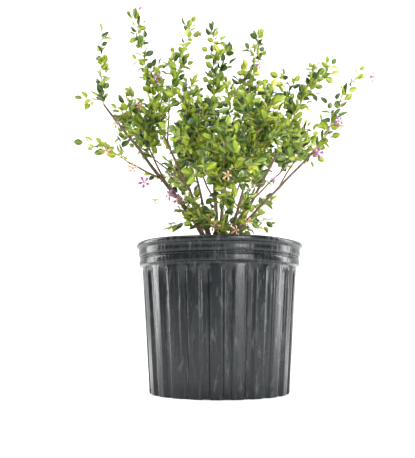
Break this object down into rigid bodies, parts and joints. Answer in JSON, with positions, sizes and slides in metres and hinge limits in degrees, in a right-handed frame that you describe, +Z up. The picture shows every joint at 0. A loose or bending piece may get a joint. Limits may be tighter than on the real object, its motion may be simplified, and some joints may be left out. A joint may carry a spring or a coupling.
{
  "type": "potted goji berry bush",
  "caption": "Goji berry bush in blossom in a fluted round nursery pot: slender canes fan out from a root crown and carry open masses of small leaves.",
  "frame": {"origin": "centre of the pot's flat underside", "axes": "+Z up, +X to the viewer's right and -Y towards the viewer, as the picture shows the bush"},
  "size_m": [0.496, 0.427, 0.6914],
  "materials": {
    "pot_plastic": "charcoal black, semi-gloss, finely scuffed",
    "potting_mix": "moist brown bark and peat with white specks",
    "bark": "matt brown to tan bark",
    "foliage": "satin green leaves on thin shoots"
  },
  "bodies": {
    "root": {"bough_centre_left": "bark", "bough_centre_right": "bark", "bough_left_back": "bark", "bough_left_low": "bark", "bough_left_mid": "bark", "bough_right_back": "bark", "bough_right_low": "bark", "bough_third": "bark", "cane_back": "bark", "cane_back_left": "bark", "cane_back_right": "bark", "cane_centre": "bark", "cane_fifth": "bark", "cane_front": "bark", "cane_front_left": "bark", "cane_front_right": "bark", "cane_left": "bark", "cane_right": "bark", "cane_right_low": "bark", "cane_tall": "bark", "foliage_back_left": "foliage", "foliage_back_right": "foliage", "foliage_back_top": "foliage", "foliage_centre_left": "foliage", "foliage_centre_right": "foliage", "foliage_centre_top": "foliage", "foliage_fifth_spike": "foliage", "foliage_front_left": "foliage", "foliage_front_low": "foliage", "foliage_front_right": "foliage", "foliage_left_back": "foliage", "foliage_left_low": "foliage", "foliage_left_mid": "foliage", "foliage_left_tip": "foliage", "foliage_low_back_left": "foliage", "foliage_low_back_right": "foliage", "foliage_low_front": "foliage", "foliage_low_left": "foliage", "foliage_low_right": "foliage", "foliage_right_back": "foliage", "foliage_right_column": "foliage", "foliage_right_low": "foliage", "foliage_right_tip": "foliage", "foliage_tall_spike": "foliage", "foliage_third_shoot": "foliage", "pot": "pot_plastic", "potting_mix": "potting_mix", "root_crown": "bark"}
  },
  "joints": []
}
